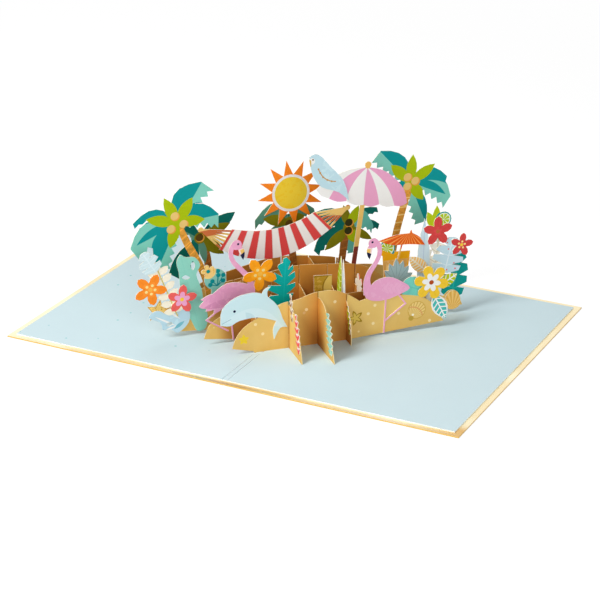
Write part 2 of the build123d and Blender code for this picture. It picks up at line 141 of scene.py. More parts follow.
# %% [markdown]
# ## One printed sheet
# A sheet has a width and a height like a sheet of paper: u runs along it and z up it, in millimetres.
# The long slices stand at 45 degrees to the spine, so their u is a mix of x and y; the cross slices take the other
# mix. A UV map could give the same, but the place in the frame is there already.
# Colour is laid on as on a press, one field over the last. A field of foil also turns the surface to metal.
# The cut edge shows the bare core of the card, found from the way the surface faces.

# %% The paper
MM = 1000  # the frame is in metres, the print in millimetres
COS_45 = 0.707
FACING = {"long": (COS_45, -COS_45, 0), "cross": (COS_45, COS_45, 0), "flat": (0, 0, 1)}
FIBRE, BLOTCH = 900, 60  # scale of the card's fibres and of the uneven ink
GLOSS_SPREAD = 0.12  # how far the fibres change the roughness
FOIL_ROUGH = 0.34


class Paper(Net):
    """Material of one sheet, printed field by field."""

    def __init__(self, name, paper, lies="long", core=CREAM):
        self.material = bpy.data.materials.new(name)
        self.material.use_nodes = True
        super().__init__(self.material.node_tree)
        self.shader = self.tree.nodes["Principled BSDF"]
        self.place = self.node("ShaderNodeTexCoord").outputs["Object"]
        x, y, z = [Value(self, part) for part in self.node("ShaderNodeSeparateXYZ", inputs={0: self.place}).outputs]
        face = self.node("ShaderNodeNewGeometry").outputs["Normal"]
        dot = self.node("ShaderNodeVectorMath", {"operation": "DOT_PRODUCT"}, {0: face, 1: FACING[lies]})
        self.toward = Value(self, dot.outputs["Value"])
        self.edge = abs(self.toward) < 0.5
        if lies == "flat":
            self.u, self.z = x * MM, y * MM
        else:
            self.u = (x + y if lies == "long" else x - y) * (MM / math.sqrt(2))
            self.z = z * MM
        self.colour = paper
        self.core = core
        self.metal = None

    def fill(self, mask, colour, foil=False):
        """Prints a colour where the mask is 1."""
        self.colour = self.blend(mask, self.colour, colour)
        if foil:
            self.metal = mask if self.metal is None else self.metal | mask
        elif self.metal is not None:
            self.metal = self.metal * (1 - mask)

    def noise(self, scale, detail=2.0, rough=0.5):
        inputs = {"Vector": self.place, "Scale": scale, "Detail": detail, "Roughness": rough}
        return Value(self, self.node("ShaderNodeTexNoise", inputs=inputs).outputs[0])

    def done(self, rough=0.6, grain=0.05):
        """Adds the grain of the card and the bare cut edge, and wires the shader."""
        self.fill(self.edge, self.core)
        fibre = self.noise(FIBRE, 4.0, 0.65)
        shade = 1 - grain + fibre * grain + self.noise(BLOTCH) * grain
        grey = self.node("ShaderNodeCombineColor", inputs={0: shade, 1: shade, 2: shade}).outputs[0]
        roughness = rough - GLOSS_SPREAD / 2 + fibre * GLOSS_SPREAD
        if self.metal is not None:
            self.feed(self.shader.inputs["Metallic"], self.metal)
            roughness = roughness - self.metal * (rough - FOIL_ROUGH)
        bump = self.node("ShaderNodeBump", inputs={"Strength": 0.12, "Distance": 0.0002, "Height": fibre})
        self.feed(self.shader.inputs["Base Color"], self.blend(1.0, self.colour, grey, "MULTIPLY"))
        self.feed(self.shader.inputs["Roughness"], roughness)
        self.feed(self.shader.inputs["Normal"], bump.outputs[0])
        self.shader.inputs["Specular IOR Level"].default_value = 0.12
        return self.material


print("a sheet lies one of these ways:", ", ".join(FACING))


# %% Shapes on the paper
class Sheet(Paper):
    """Paper with the shapes that its print is drawn in. All lengths are in millimetres."""

    def reach(self, centre):
        """Distance from a point."""
        a, b = self.u - centre[0], self.z - centre[1]
        return self.number("SQRT", a * a + b * b)

    def turn(self, centre):
        """Angle about a point, in radians."""
        return self.number("ARCTAN2", self.z - centre[1], self.u - centre[0])

    def wedges(self, centre, count):
        """Runs from 0 to 1 over each of the equal wedges about a point."""
        return (self.turn(centre) * (count / (2 * math.pi))) % 1.0

    def disc(self, centre, r):
        return self.reach(centre) < r

    def bar(self, p, q, w):
        """Straight strip from p to q."""
        strip = Leaf(self, p, q, w)
        return (abs(strip.s) < w / 2) & (strip.t > 0) & (strip.t < 1)

    def star(self, centre, r, turn, waist):
        """Star with five points."""
        part = ((self.turn(centre) - turn) * (5 / (2 * math.pi))) % 1.0
        return self.reach(centre) < (waist + (1 - waist) * abs(part * 2 - 1)) * r

    def dots(self, spacing, radius, share):
        """Scattered dots, one in some of the cells of a loose grid."""
        flat = self.node("ShaderNodeCombineXYZ", inputs={0: self.u / spacing, 1: self.z * (1 / spacing), 2: 0.0})
        inputs = {"Vector": flat.outputs[0], "Scale": 1.0}
        cells = self.node("ShaderNodeTexVoronoi", {"voronoi_dimensions": "2D"}, inputs)
        pick = self.node("ShaderNodeSeparateColor", inputs={0: cells.outputs["Color"]})
        chance, growth = Value(self, pick.outputs[0]), Value(self, pick.outputs[1])
        size = radius / spacing * (0.6 + 0.8 * growth)
        return (Value(self, cells.outputs["Distance"]) < size) & (chance < share)


# %% [markdown]
# ## Leaf shaped fields
# Most of the print is leaves. A leaf is easiest to draw in its own measure: t runs from stalk to tip as 0 to 1, and s
# is the distance from the rib in millimetres. The rib may bow to one side. Halves, veins and edges then are one line
# each.


# %% A leaf's own measure
class Leaf:
    """Leaf shaped field from p to q, w wide, its rib bowed sideways by bow."""

    def __init__(self, sheet, p, q, w, bow=0.0):
        length = math.dist(p, q)
        du, dz = (q[0] - p[0]) / length, (q[1] - p[1]) / length
        a, b = sheet.u - p[0], sheet.z - p[1]
        self.t = (a * du + b * dz) / length
        self.arch = self.t * (1 - self.t) * 4
        self.s = b * du - a * dz - self.arch * bow
        self.inside = abs(self.s) < self.arch * (w / 2)

    def veins(self, count, slope, share):
        """Slanting veins on both sides of the rib."""
        return ((self.t * count - abs(self.s) * slope) % 1.0) < share

    def rib(self, width):
        """Line along the rib, ending just short of the tip."""
        return (abs(self.s) < width / 2) & (self.t > 0) & (self.t < 0.97)


# %% [markdown]
# ## Cover and liner
# The cover is card with a bright foil, seen as a narrow border. The liner is a pale sheet with a scatter of tiny specks
# on its left half. Foil is metal, and what it mirrors changes along the border. A room to mirror would be a lot of
# work for so thin a line, so two soft noises paint the reflections instead: a painted reflection of darker gold, most
# of all along the near edge, and pale painted highlight streaks.


# %% Cover foil and liner
def dress(name, sheet, **finish):
    """Gives a sheet of the frame its print."""
    material = sheet.done(**finish)
    for slot in nodes[name].material_slots:
        slot.material = material
    print(name, "printed with", len(sheet.tree.nodes), "nodes")


# The near border's darker gold is a painted reflection.
NEAR_REFLECTION_EDGE, SPECK_EDGE = -74, -18  # where the near border's shade starts, and where the specks end

cover = Sheet("cover_foil", ink(254, 244, 206), "flat", core=ink(222, 180, 92))
# Painted reflection: darker gold patches on the foil, most of all along the near edge, then pale painted highlight
# streaks.
near_reflection = ((NEAR_REFLECTION_EDGE - cover.z) * 0.1).clip(0.25)
cover.fill(((cover.noise(9, 1.0) - 0.42) * 4).clip() & near_reflection, ink(214, 162, 66))
cover.fill(((cover.noise(26, 1.0) - 0.55) * 5).clip(0.0, 0.8), ink(254, 246, 214))
cover.metal = 1 - cover.edge * 0.5
dress("cover_card", cover, rough=0.4, grain=0.03)

liner = Sheet("liner_paper", ink(203, 223, 228), "flat", core=ink(232, 238, 240))
liner.fill(liner.dots(15.0, 0.5, 0.4) & (liner.u < SPECK_EDGE), ink(146, 204, 206))
dress("liner_sheet", liner, rough=0.62, grain=0.03)

# %% [markdown]
# ## Sand slices
# The slices are printed as sand: a warm tan with pale dots, with painted shade that deepens towards the foot. Inside
# the lattice a rich brown is painted shade, so the open cells look deep. A slice fades from that brown to tan where it
# leaves the lattice. The lamps darken the cells as well, and each slice gets a share of the painted shade by the place
# on its face. The crossing slices take the same recipe in their own direction.

# %% Sand
SAND, PAINTED_FOOT_SHADE = ink(228, 190, 108), ink(206, 150, 66)
PAINTED_CELL_SHADE, PAINTED_CELL_FOOT_SHADE = ink(210, 144, 60), ink(160, 96, 34)
PITCH, FRONT = 16.26, 32.52  # from one slot to the next, and from the middle to the front slice
LATTICE, FADE = 52, 14  # half the lattice's width with its fade, and the length of that fade


def sand_sheet(name, lies, shade_share):
    """Sand print with painted shade: darker towards the foot, and brown by the share of painted shade that shade_share
    gives for the sheet.
    """
    sheet = Sheet(name, SAND, lies, core=ink(240, 214, 156))
    # Painted shade: the sand gets darker towards the foot, where the slices meet the liner.
    sheet.fill(((20 - sheet.z) * 0.02).clip(0.0, 0.35), PAINTED_FOOT_SHADE)
    sheet.fill(((sheet.noise(70) - 0.5) * 2).clip(0.0, 0.5), ink(234, 198, 120))
    sheet.fill(sheet.dots(11.0, 0.62, 0.3), ink(242, 214, 152))
    # Painted shade: the cells' brown, and a deeper brown towards their foot.
    cell_shade = shade_share(sheet)
    sheet.fill(cell_shade, PAINTED_CELL_SHADE)
    sheet.fill(cell_shade & ((24 - sheet.z) * 0.04).clip(0.0, 0.7), PAINTED_CELL_FOOT_SHADE)
    return sheet


def inside(sheet):
    """Painted shade: brown all over the lattice."""
    return ((LATTICE - abs(sheet.u)) / FADE).clip()


def inner_face_shade(sheet):
    """Painted shade as inside, but only on the face that looks into the lattice."""
    return inside(sheet) & (sheet.toward > 0.5)


def shade_behind_front(sheet):
    """Painted shade: brown up to the front slice."""
    return ((FRONT + 3 - sheet.u) / 4).clip()


def shade_to_the_tip(sheet):
    """Painted shade: brown that fades out along the nose in front."""
    return ((FRONT + 14 - sheet.u) / 12).clip()


# Painted shade: each slice gets its share of the cells' brown by its place in the lattice.
long_shades = {2: inside, 3: inside, 4: inside, 5: inner_face_shade}
for i, shade_share in long_shades.items():
    dress(f"sand_slice_{i}", sand_sheet(f"sand_{i}", "long", shade_share))
cross_shades = {1: shade_behind_front, 2: shade_behind_front, 3: shade_to_the_tip, 4: shade_to_the_tip, 5: shade_behind_front}
for i, shade_share in cross_shades.items():
    dress(f"cross_slice_{i}", sand_sheet(f"sand_cross_{i}", "cross", shade_share))

# %% [markdown]
# ## Front slice
# The front slice shows most of its face, so it carries more print: pale dots, a small star, a foil starfish and a
# scallop. They are flat on the real card, so they are print here too, and not pieces of their own.


# %% Front slice
def shade_by_slots(sheet):
    """Painted shade: brown that grows across each of the two middle bays, darkest at the slot on the bay's right."""
    bay = (sheet.u / PITCH) % 1.0
    return ((bay - 0.25) * 1.2 | 0.0) & (abs(sheet.u) < PITCH)


# The front slice gets painted shade across its two middle bays, beside the noses of the crossing slices.
front = sand_sheet("sand_1", "long", shade_by_slots)
for spot in ((-31, 11.5), (-35, 17.5), (-6.5, 22.3), (9.6, 24.7), (28.7, 15), (31.6, 8.9), (32.5, 19.5),
             (46.3, 12.9), (64.5, 6.1)):
    front.fill(front.disc(spot, 0.9), ink(242, 216, 160))
front.fill(front.star((-41.6, 9.5), 3.0, math.pi / 2, 0.52), ink(236, 202, 50))

foil_star = (21.5, 13.5)
front.fill(front.star(foil_star, 4.6, 1.9, 0.36), ink(168, 126, 36), foil=True)
front.fill(front.star(foil_star, 3.3, 1.9, 0.3), ink(222, 182, 84), foil=True)

hinge, middle = (53.6, 8.9), (56.8, 13.4)
scallop = front.disc(middle, 4.8)
front.fill(front.disc(middle, 5.3), ink(216, 170, 84), foil=True)
front.fill(scallop, ink(236, 202, 124))
front.fill(scallop & ((front.turn(hinge) * 5.2) % 1.0 < 0.3), ink(208, 162, 78))
front.fill(scallop & (abs(front.reach(hinge) - 6.6) < 0.35), ink(222, 160, 96))
front.fill(front.disc(hinge, 1.5), ink(206, 164, 70), foil=True)
front.fill(front.disc((54.6, 10.8), 0.7), ink(250, 240, 214))
dress("sand_slice_1", front)

# %% [markdown]
# ## Palms
# A palm is one sheet: arched fronds that are dark above the rib and pale below, a star of lime leaves, nuts with
# painted shade on one side and a ringed trunk. Each of these could be a sheet of its own, but the real palm is cut in
# one and printed.
# The frond's dark part follows the same arch as the cut edge, so the two lines stay parallel.

# %% Palm print
# The darker teal, olive, grey green, bark and nut inks are painted shade: shaded copies for the palms that stand in
# shade.
TEAL, SHADED_TEAL, MINT = ink(0, 148, 150), ink(0, 104, 94), ink(128, 206, 188)
LIME, SHADED_LIME, SHADED_GREEN = ink(168, 190, 4), ink(124, 122, 8), ink(92, 148, 128)
BARK, SHADED_BARK = ink(230, 160, 62), ink(152, 94, 38)
NUT, SHADED_NUT = ink(232, 196, 118), ink(92, 70, 20)
TRUNK, RING_GAP, NUT_RADIUS = 4.8, 4.6, 2.6  # the trunk's width, from ring to ring, and a nut


def frond(sheet, crown, tip, w, bow, style, dark, pale):
    """One arched frond: pale with a dark upper edge or an inner leaf, or dark or pale all over."""
    up = 1 if tip[0] > crown[0] else -1
    rib = Leaf(sheet, crown, tip, w)
    below = rib.arch * bow - rib.s * up
    drop = sheet.number("SINE", (0.9 - 0.7 * rib.t) * math.pi) * w
    along = (rib.t > 0) & (rib.t < 1.02) & (below > -0.6)
    blade = along & (below < drop * 1.1)
    sheet.fill(blade, dark if style == "dark" else pale)
    if style == "edge":
        sheet.fill(along & (rib.s * up > -0.5), dark)
    elif style == "inner":
        end = [c + 0.87 * (t - c) for c, t in zip(crown, tip)]
        sheet.fill(Leaf(sheet, crown, end, 4.6, 2.0 * up).inside, dark)


def palm_print(name, crown, fronds, leaves, trunk, nuts,
               dark=TEAL, pale=MINT, leaf=LIME, nut=NUT, bark=BARK, ring=None):
    """Fronds are tip, width, bow and style; leaves tip, width and maybe an ink; the trunk's points run downwards."""
    sheet = Sheet(name + "_print", pale)
    for tip, w, bow, style in fronds:
        frond(sheet, crown, tip, w, bow, style, dark, pale)
    points = [crown] + trunk
    for p, q in zip(points, points[1:]):
        stem = Leaf(sheet, p, q, 5)
        on = (abs(stem.s) < TRUNK / 2) & (stem.t > -0.03) & (stem.t < 1.03)
        rings = (stem.t * (math.dist(p, q) / RING_GAP) + stem.s * 0.06) % 1.0
        sheet.fill(on, bark)
        sheet.fill(on & (abs(rings - 0.55) < 0.3) & (sheet.noise(700) > 0.55), tone(bark, 0.8))
        sheet.fill(on & (rings < 0.14), ring or tone(bark, 1.35))
    for tip, w, *own in leaves:
        sheet.fill(Leaf(sheet, crown, tip, w + 0.6).inside, own[0] if own else leaf)
    sheet.fill(sheet.disc(crown, 3.4), leaf)
    for u, z in nuts:
        # Painted shade: each nut gets a bark coloured crescent outside its lit part, which sits to the upper left.
        whole, lit = sheet.disc((u, z), NUT_RADIUS), sheet.disc((u - 0.4, z + 0.4), NUT_RADIUS - 0.3)
        sheet.fill(whole, nut)
        sheet.fill(whole * (1 - lit), BARK)
    dress(name, sheet, rough=0.58)


# %% The two bright palms
palm_print(
    "palm_left", (-63.9, 61),
    [((-90.3, 49), 15, 9, "inner"), ((-50.2, 83.1), 16.5, 10, "edge"), ((-40.7, 63.5), 14.5, 8.7, "edge"),
     ((-88.5, 63.3), 6.5, 8, "dark"), ((-75.5, 36.5), 13.5, 8, "edge")],
    [((-71, 76), 6), ((-55.2, 74.7), 6), ((-48.5, 61.4), 6), ((-68.4, 46.8), 6), ((-81.4, 64.8), 6)],
    [(-58, 47), (-51, 33), (-47, 20), (-46, 8)], [(-65.0, 64.7), (-60.2, 59.6), (-67.3, 57.5)])
palm_print(
    "palm_right", (70.5, 69.2),
    [((52.5, 89.4), 14.5, 7.2, "edge"), ((94.8, 58), 14.5, 9.5, "inner"), ((92.3, 70.1), 7, 7, "dark"),
     ((80.2, 44.5), 11.5, 4.5, "edge"), ((56, 62), 9, 4, "edge")],
    [((58.6, 80.4), 6), ((71.7, 85.3), 6), ((84.9, 78.3), 6), ((78.2, 57.7), 6)],
    [(66.5, 55), (62.2, 38), (60, 22), (59.5, 8)], [(68.9, 71.9), (73.5, 69.2), (68.8, 66.4)],
    ring=ink(250, 214, 134))

# %% The three dark palms
# Painted shade: these three palms stand in shade further back, so their teal, mint, lime, nut and bark inks are darker,
# shaded copies of the bright palms' inks.
palm_print(
    "palm_mid", (34.4, 46.5),
    [((52.4, 46.3), 6, 4, "dark"), ((50.8, 56.4), 6, 5, "dark"), ((48.5, 46), 10, 9, "pale"),
     ((38, 31), 7, 2, "pale"), ((14.8, 57.9), 12, 6.5, "dark"), ((13.8, 34.9), 8.5, 6.5, "dark")],
    [((31, 60), 5), ((20.2, 34.3), 6), ((48.2, 37.6), 5), ((40, 58.8), 5.5, LIME), ((38.6, 36.5), 5.5, LIME)],
    [(31.7, 39.2), (30, 25.6), (24.4, 8)], [(34.6, 49.0), (34.3, 44.2)],
    dark=SHADED_TEAL, pale=ink(96, 184, 170), leaf=SHADED_LIME, nut=ink(52, 52, 16), bark=SHADED_BARK)
palm_print(
    "palm_back", (5, 47),
    [((-15.3, 50.4), 11, 11, "dark"), ((19.2, 53.6), 11, 9, "dark"), ((-10, 37), 8, 4, "edge"),
     ((19, 38), 8, 4, "edge")],
    [((-10.6, 50.8), 6.5), ((13.8, 50), 6.5)], [(6, 36), (8.1, 8)], [(5, 46)],
    dark=ink(86, 146, 122), pale=SHADED_TEAL, leaf=SHADED_LIME, nut=SHADED_NUT, bark=SHADED_BARK)
palm_print(
    "palm_dark", (-47, 44),
    [((-62, 54), 8, 5, "edge"), ((-65.3, 25), 12, 4, "dark")],
    [((-26.6, 57), 9, SHADED_TEAL), ((-29.6, 50.9), 6), ((-33.4, 32.9), 7), ((-44.2, 28.5), 4, SHADED_GREEN)],
    [(-43.5, 34), (-42, 20), (-41.5, 8)], [(-47, 44)],
    dark=SHADED_TEAL, pale=SHADED_GREEN, leaf=SHADED_LIME, nut=SHADED_NUT, bark=SHADED_BARK)

# %% [markdown]
# ## Sun, umbrella and hammock
# Three figures carry stripes or rays. Stripes could be laid on one by one, but counting lines gives them all at once.
# The sun is rings about one point. The umbrella's panels meet at its tip, between ribs that bow outwards like a
# dome's. The hammock's stripes fan out from the point where its two end lines would meet.

# %% Sun
heart = (5.6, 64.5)
sun = Sheet("sun_print", ink(254, 138, 32))
sun.fill(sun.disc(heart, 12.6) & (sun.noise(90) > 0.6), ink(248, 124, 22))
sun.fill(sun.disc(heart, 10.9), WHITE)
yellow = sun.disc(heart, 9.4)
sun.fill(yellow, ink(240, 206, 56))
sun.fill(yellow & (sun.noise(400, 3.0) > 0.56), ink(240, 200, 44))
dress("sun", sun, rough=0.5)

# %% Umbrella
PINK, GOLD, POLE_SHADE = ink(232, 162, 196), ink(232, 190, 104), ink(130, 56, 44)
apex = (39.1, 86.6)
umbrella = Sheet("umbrella_print", PINK)
ribs = 0
for tip in ((17.3, 70.9), (27, 68.4), (37.2, 64.8), (46.2, 64.2), (55.2, 62.4)):
    line = Leaf(umbrella, apex, tip, 1, 0.17 * (tip[0] - apex[0]))
    ribs = ribs + (line.s > 0)
umbrella.fill((ribs % 2.0) < 0.5, WHITE)
pole = umbrella.bar((36.8, 67.5), (31.2, 25), 3.4) & (umbrella.z < 65.0)
umbrella.fill(pole, GOLD)
# Painted shade: the pole's lower part is maroon.
umbrella.fill(pole & (umbrella.z < 41), POLE_SHADE)
umbrella.fill(umbrella.disc((39.6, 88), 2.2), ink(224, 176, 96), foil=True)
dress("beach_umbrella", umbrella, rough=0.55)

# %% Hammock
STRIPES, OFFSET = 13.8, 0.6  # stripes between the two end lines, and the count at the first of them
STRINGS = 0.64, 14.36  # the strings lie outside these counts
meet, left_end, right_end = (-11.7, 85.6), (-40.8, 42.7), (24.2, 47.6)
first, last = [math.atan2(end[1] - meet[1], end[0] - meet[0]) for end in (left_end, right_end)]

hammock = Sheet("hammock_print", ink(250, 246, 242))
count = (hammock.turn(meet) - first) * (STRIPES / (last - first)) + OFFSET
hammock.fill((count % 2.0) < 1.0, ink(226, 74, 72))
hammock.fill(abs((count % 1.0) - 0.5) > 0.47, ink(222, 210, 204))
strings = (count < STRINGS[0]) | (count > STRINGS[1])
shading = (hammock.reach((-11.7, 60)) * 0.02 + hammock.z * 0.22) % 2.0
hammock.fill(strings, ink(240, 202, 118))
hammock.fill(strings & (shading < 0.8), ink(206, 112, 62))
dress("hammock", hammock)

# %% [markdown]
# ## Birds and dolphin
# The figures are flat cut outs with a few printed lines: a wing, an eye, a beak tip. Relief would be wrong on them,
# because the real ones are card as well. Each is a handful of leaf fields and discs laid over the body colour.

# %% Flamingos
INK_BLUE, PALE_PINK = ink(20, 26, 60), ink(235, 170, 201)


def flamingo_print(name, eye, beak, wings, side):
    """The beak runs from the head to its tip, and wings are leaf fields with their ink. Side is the beak's lit side."""
    sheet = Sheet(name + "_print", PINK)
    sheet.fill(sheet.noise(420, 3.0) > 0.56, PALE_PINK)
    for p, q, w, colour in wings:
        feather = Leaf(sheet, p, q, w)
        sheet.fill(feather.inside & (sheet.noise(420, 3.0) > 0.42), colour)
        sheet.fill(feather.inside & feather.veins(7, 0.3, 0.08), ink(225, 152, 189))
    bill = Leaf(sheet, beak[0], beak[1], 7)
    on = (abs(bill.s) < 2.4) & (bill.t > 0.26) & (bill.t < 1.04)
    sheet.fill(on & (bill.t > 0.36), ink(244, 212, 208))
    sheet.fill(on & (bill.t > 0.42) & (bill.s * side > 0.3), ink(238, 190, 98))
    sheet.fill(on & (bill.t + bill.s * side * 0.03 > 0.66), INK_BLUE)
    sheet.fill(sheet.disc(eye, 0.62), INK_BLUE)
    dress(name, sheet, rough=0.58)


flamingo_print("flamingo_right", (30.4, 56.6), ((30.4, 57), (28.9, 46.8)), [((34, 30), (51, 27), 7, PALE_PINK)], -1)
flamingo_print("flamingo_left", (-39.4, 58.0), ((-40, 58.4), (-36.7, 48.6)),
               [((-36, 31.5), (-58, 27.5), 8, ink(227, 155, 192)),
                ((-38, 26.5), (-59, 23.5), 4.5, ink(219, 144, 183))], 1)

# %% Dolphin and parrot
dolphin = Sheet("dolphin_print", ink(200, 227, 232))
dolphin.fill(Leaf(dolphin, (-53, 20.5), (-20, 14), 9, 5.5).inside, ink(208, 231, 236))
dolphin.fill(Leaf(dolphin, (-40.5, 25.5), (-34.5, 17.5), 4.2).inside, ink(192, 220, 227))
dolphin.fill(dolphin.bar((-53.6, 20.4), (-48.5, 22.6), 0.4), ink(152, 188, 200))
dolphin.fill(dolphin.disc((-46.6, 26.8), 0.75), INK_BLUE)
dress("dolphin", dolphin, rough=0.5)

parrot = Sheet("parrot_print", ink(190, 220, 229))
wing = Leaf(parrot, (10, 95), (27, 69), 9, 2).inside
parrot.fill(wing & (parrot.noise(300, 3.0) > 0.52), ink(200, 227, 234))
wing_edge = [(11.0, 88.7), (12.0, 86.4), (13.6, 83.9), (16.1, 82.0), (18.5, 81.0), (21.0, 80.6)]
for p, q in zip(wing_edge, wing_edge[1:]):
    parrot.fill(parrot.bar(p, q, 0.6) | parrot.disc(p, 0.55), ink(196, 148, 78))
parrot.fill(parrot.disc((7.2, 93.6), 1.8), ink(236, 236, 232))
parrot.fill(parrot.disc((5.5, 92.4), 2.2) & (parrot.u < 6.9), ink(216, 178, 98))
parrot.fill(parrot.disc((7.9, 94.4), 0.5), ink(120, 84, 50))
dress("parrot", parrot, rough=0.55)

# %% [markdown]
# ## Blossoms
# The blossoms share one recipe: a petal colour, a darker line where petals meet, an inner flower and a heart, some with
# pollen dots about it. Petals could be drawn one by one as leaves. The angle about the centre gives all of them at
# once, by the same formula as the cut outline.

# %% Blossom print
RED, CORAL, ROSE = ink(210, 66, 64), ink(240, 104, 98), ink(238, 166, 204)
RUST, YELLOW, POLLEN = ink(176, 70, 24), ink(244, 200, 58), ink(248, 222, 140)


def blossom_print(name, centre, r, petals, turn, petal, inner, heart, pollen=5, size=0.5):
    """All reaches are shares of the blossom's radius r, and size is the inner flower's."""
    sheet = Sheet(name + "_print", petal)
    far, angle = sheet.reach(centre), sheet.turn(centre) - turn
    lobe = abs(sheet.number("SINE", angle * (petals / 2)))
    sheet.fill((lobe < 0.16) & (far > 0.3 * r) & (far < 0.8 * r), tone(petal, 0.88))
    sheet.fill((lobe > 0.985) & (far > 0.25 * r) & (far < 0.85 * r), tone(petal, 0.95))
    sheet.fill(far < (0.5 + 0.5 * lobe) * (size * r), inner)
    sheet.fill(far < 0.13 * r, heart)
    for i in range(pollen):
        a = turn + (i + 0.5) * 2 * math.pi / pollen
        dot = (centre[0] + 0.27 * r * math.cos(a), centre[1] + 0.27 * r * math.sin(a))
        sheet.fill(sheet.disc(dot, 0.085 * r), POLLEN)
    dress(name, sheet, rough=0.55)


# %% The seven blossoms
blossom_print("yellow_blossom", (64.7, 29), 10.2, 6, 0.3, ink(242, 196, 50), WHITE, RUST, 0, 0.54)
blossom_print("orange_blossom_mid", (-27.5, 39.5), 10, 5, 0.21,
              ink(254, 162, 22), ink(255, 172, 36), ink(252, 190, 70))
blossom_print("orange_blossom_left", (-84.2, 31.5), 9.4, 5, 0.49,
              ink(248, 138, 36), ink(250, 146, 48), ink(250, 176, 70))
blossom_print("coral_blossom", (-66.9, 23.6), 8.6, 5, 0.82, ink(236, 98, 92), ROSE, YELLOW, 0, 0.52)
blossom_print("red_blossom_high", (74.1, 51.6), 8.8, 5, 0.94, RED, ink(218, 70, 72), ink(190, 96, 56), 0, 0.3)
blossom_print("red_blossom_low", (88.4, 42), 7, 5, 0.77, RED, ink(222, 84, 82), YELLOW, 5, 0.3)
blossom_print("cross_blossom", (8.13, 22), 6, 5, 0.0, CORAL, ROSE, YELLOW)

# %% [markdown]
# ## Leaves
# Broad leaves get a rib and veins in a second ink, and one has a white border as on a block print.
# Each could have a recipe of its own, but they differ only in their line, width and inks, so a table and one call
# print them. What is special to a leaf is printed over it before the sheet is done.

# %% Leaf print
PALE_MINT, SKY = ink(142, 210, 192), ink(196, 222, 233)


def leaf_sheet(name, paper, p, q, w, vein, count, slope, share, border=None, lies="long"):
    sheet = Sheet(name + "_print", paper, lies)
    leaf = Leaf(sheet, p, q, w)
    if border:
        sheet.fill(1 - (Leaf(sheet, p, q, w - 2.2).inside & (leaf.t > 0.06)), border)
    blade = (abs(leaf.s) < w * 0.45) & (leaf.t > 0) & (leaf.t < 1)
    sheet.fill(leaf.veins(count, slope, share) & blade, vein)
    sheet.fill(leaf.rib(0.7), vein)
    return sheet


# paper, stalk, tip, width, ink of the veins, then their count, slope and share of the gap, and a border's ink
long_leaves = {
    "edged_leaf": (ink(72, 184, 176), (66.2, 21.8), (73.8, 6.4), 9, WHITE, 6, 0.2, 0.3, WHITE),
    "mint_sprig": (ink(118, 204, 188), (61, 24), (47, 30), 14, ink(104, 194, 180), 6, 0.06, 0.06),
    "lime_leaf": (ink(176, 190, 24), (68, 25.4), (79.8, 32), 7, WHITE, 5, 0.25, 0.2),
    "striped_leaf": (ink(250, 198, 118), (69.6, 27.6), (57.5, 38.6), 7.5, CREAM, 9, 0.25, 0.36),
    "teal_leaf": (ink(0, 174, 167), (-14.6, 17.5), (-12.8, 47), 17, ink(14, 182, 175), 4, 0.05, 0.04),
    "mint_leaf": (PALE_MINT, (-57, 3), (-67, 50), 16, ink(138, 208, 190), 4, 0.03, 0.04),
    "teal_frond": (ink(0, 146, 140), (83, 8), (89, 38), 15, ink(24, 166, 158), 4, 0.06, 0.06),
    "blue_leaf_high": (ink(204, 226, 230), (-80.6, 40.5), (-88, 53), 12, ink(216, 234, 238), 6, 0.1, 0.2),
    "cream_fern": (CREAM, (-69.5, 14), (-80.5, 44), 10, ink(206, 190, 110), 1, 0.0, 0.0),
    "cream_coral": (ink(238, 234, 222), (71, 8), (75.4, 51), 12, ink(214, 206, 184), 7, 0.1, 0.1),
}
cross_leaves = {
    "cross_leaf": (LIME, (20.5, 12), (24.4, 47), 7, ink(216, 226, 130), 9, 0.12, 0.2),
    "blue_blade": (SKY, (30.3, 14), (27.9, 46.5), 3.4, WHITE, 8, 0.3, 0.2),
    "coral_fan": (WHITE, (51.1, 5), (45.7, 26.5), 8, ink(232, 84, 84), 6, 0.2, 0.6),
    "pale_sprig": (ink(240, 232, 214), (39.7, 19), (36.4, 34.2), 6, ink(140, 84, 44), 4, 0.3, 0.3),
    "brown_spray": (ink(150, 94, 40), (39.5, 7), (35.3, 22.5), 5.5, LIME, 6, 0.3, 0.3),
}
for name, drawing in long_leaves.items():
    dress(name, leaf_sheet(name, *drawing))
for name, drawing in cross_leaves.items():
    dress(name, leaf_sheet(name, *drawing, lies="cross"))

# %% Leaves with marks of their own
spray = leaf_sheet("mint_spray", PALE_MINT, (56, 4), (49.9, 26.5), 11, ink(206, 232, 214), 7, 0.16, 0.2, lies="cross")
spray.fill(spray.dots(2.6, 0.45, 0.4), ink(190, 130, 60))
dress("mint_spray", spray)

blue_leaf = leaf_sheet("blue_leaf_right", SKY, (78.5, 25), (83.5, 47), 19, ink(224, 238, 244), 4, 0.05, 0.08)
blue_leaf.fill(blue_leaf.dots(4.2, 0.42, 0.35), CORAL)
dress("blue_leaf_right", blue_leaf)

stalk = (50.8, 24.5)
fan = Sheet("grey_leaf_print", ink(158, 186, 190))
for tip in ((42.3, 27.5), (43.5, 32.2), (46.2, 36), (50.2, 38.6), (54.4, 36.8), (57.8, 33.4), (60, 28.8)):
    fan.fill(Leaf(fan, stalk, tip, 3.2).inside, ink(170, 198, 202))
    fan.fill(Leaf(fan, stalk, tip, 1).rib(0.3), ink(140, 172, 176))
dress("grey_leaf", fan)

